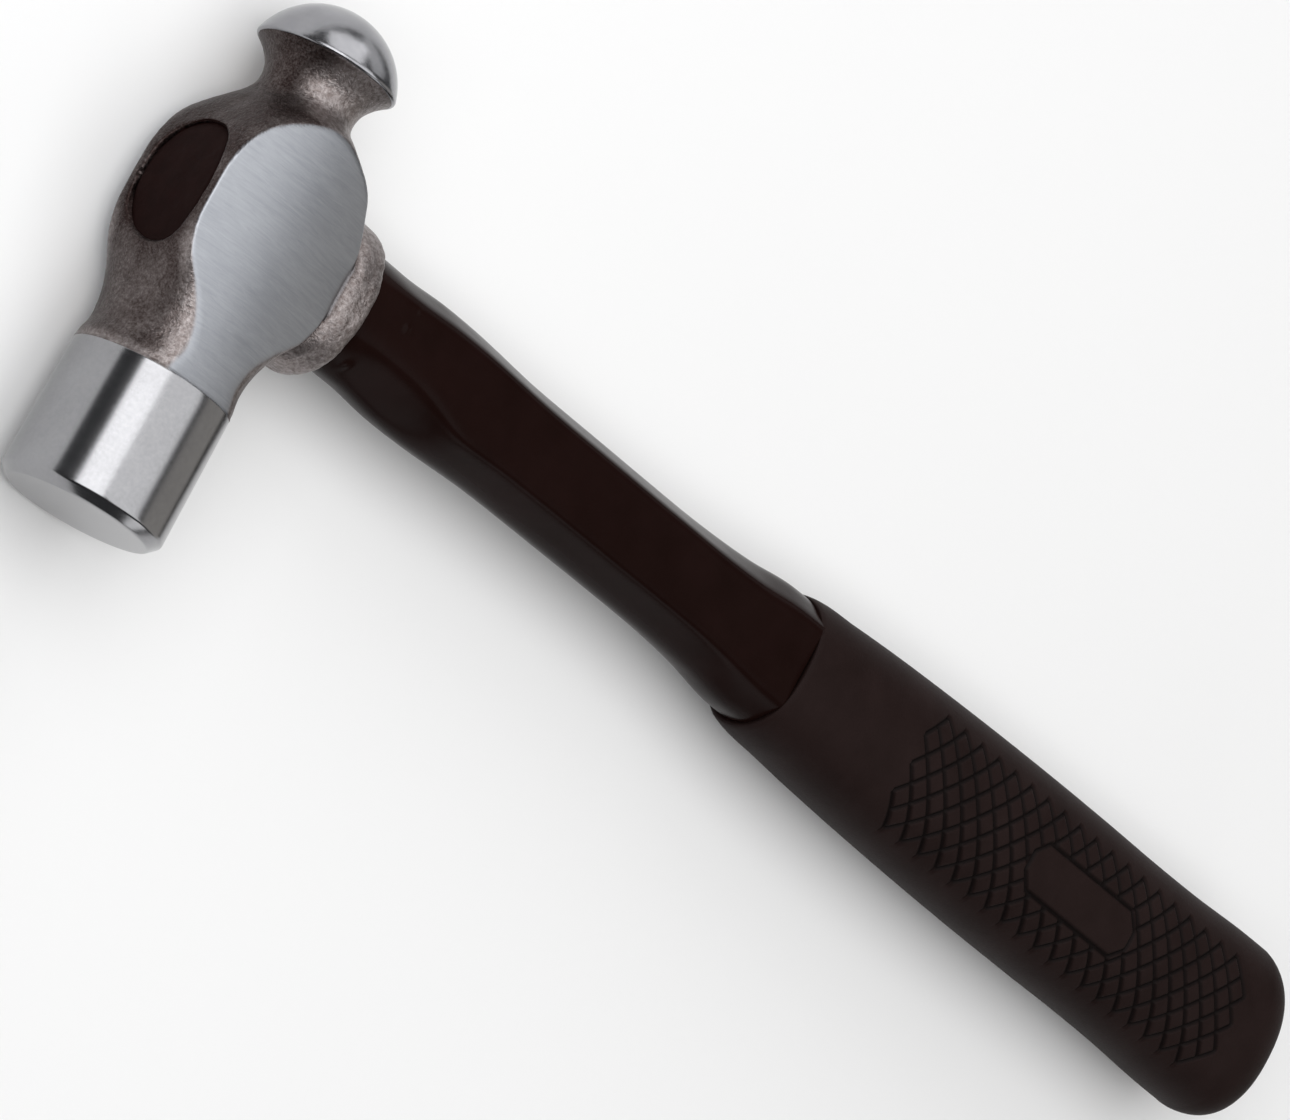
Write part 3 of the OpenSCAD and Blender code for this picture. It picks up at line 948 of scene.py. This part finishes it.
# ---------------------------------------------------------------------------
# Floor and light
# ---------------------------------------------------------------------------
FLOOR_HALF = 1.6
FLOOR_TONE = 0.9
AMBIENT = 0.06


def pale_floor():
    m = Nodes("pale_floor", Roughness=0.9, Specular_IOR_Level=0.1)
    low, high = (FLOOR_TONE * 0.985,) * 3, (FLOOR_TONE,) * 3
    m.to("Base Color", m.ramp(m.noise(3.0), [(0.3, low), (0.7, high)]))
    return m.material


floor_mesh = bpy.data.meshes.new("floor")
corners = [(FLOOR_HALF * i, FLOOR_HALF * j, 0) for i, j in ((-1, -1), (1, -1), (1, 1), (-1, 1))]
floor_mesh.from_pydata(corners, [], [(0, 1, 2, 3)])
floor_mesh.materials.append(pale_floor())
floor = bpy.data.objects.new("floor", floor_mesh)
floor.location.z = CAD_BOX[0].z
bpy.context.scene.collection.objects.link(floor)

background = bpy.data.worlds.new("studio")
background.use_nodes = True
sky = background.node_tree.nodes["Background"].inputs
sky["Color"].default_value = (0.95, 0.96, 1.0, 1)
sky["Strength"].default_value = AMBIENT
bpy.context.scene.world = background


def panel(name, angle, tilt, distance, width, length, glow, colour=(1, 1, 1), spin=0):
    """A soft light aimed at the hammer. Its direction is angle degrees from
    straight up towards +X, then tilt degrees towards +Y. Its width runs along
    angle and its length along tilt, and glow is its brightness."""
    data = bpy.data.lights.new(name, "AREA")
    data.shape = "RECTANGLE"
    data.size, data.size_y = length, width
    data.energy = glow * math.pi * width * length
    data.color = colour
    light = bpy.data.objects.new(name, data)
    a, b = math.radians(angle), math.radians(tilt)
    centre = Vector(world([20, 0, 0]))
    away = Vector((math.sin(a) * math.cos(b), math.sin(b), math.cos(a) * math.cos(b)))
    along = Vector((-math.sin(a) * math.sin(b), math.cos(b), -math.cos(a) * math.sin(b)))
    turned = Matrix((along, away.cross(along), away)).transposed()
    light.matrix_world = (
        Matrix.Translation(centre + away * distance)
        @ turned.to_4x4()
        @ Matrix.Rotation(math.radians(spin), 4, "Z")
    )
    bpy.context.scene.collection.objects.link(light)


panel("key_light", -40, 0, 1.1, 0.78, 1.27, 2.9)
panel("top_light", 10, 0, 1.2, 1.17, 1.5, 1.55, spin=14)
panel("peen_light", -20, 58, 1.1, 0.95, 0.80, 1.65)
panel("peen_fill", 55, 57, 1.2, 0.55, 0.80, 0.75)
panel("bevel_light", 70, -49, 1.2, 0.36, 0.36, 1.5)
panel("side_light", 73, 0, 1.4, 1.5, 1.3, 0.42, (1.0, 0.95, 0.88))
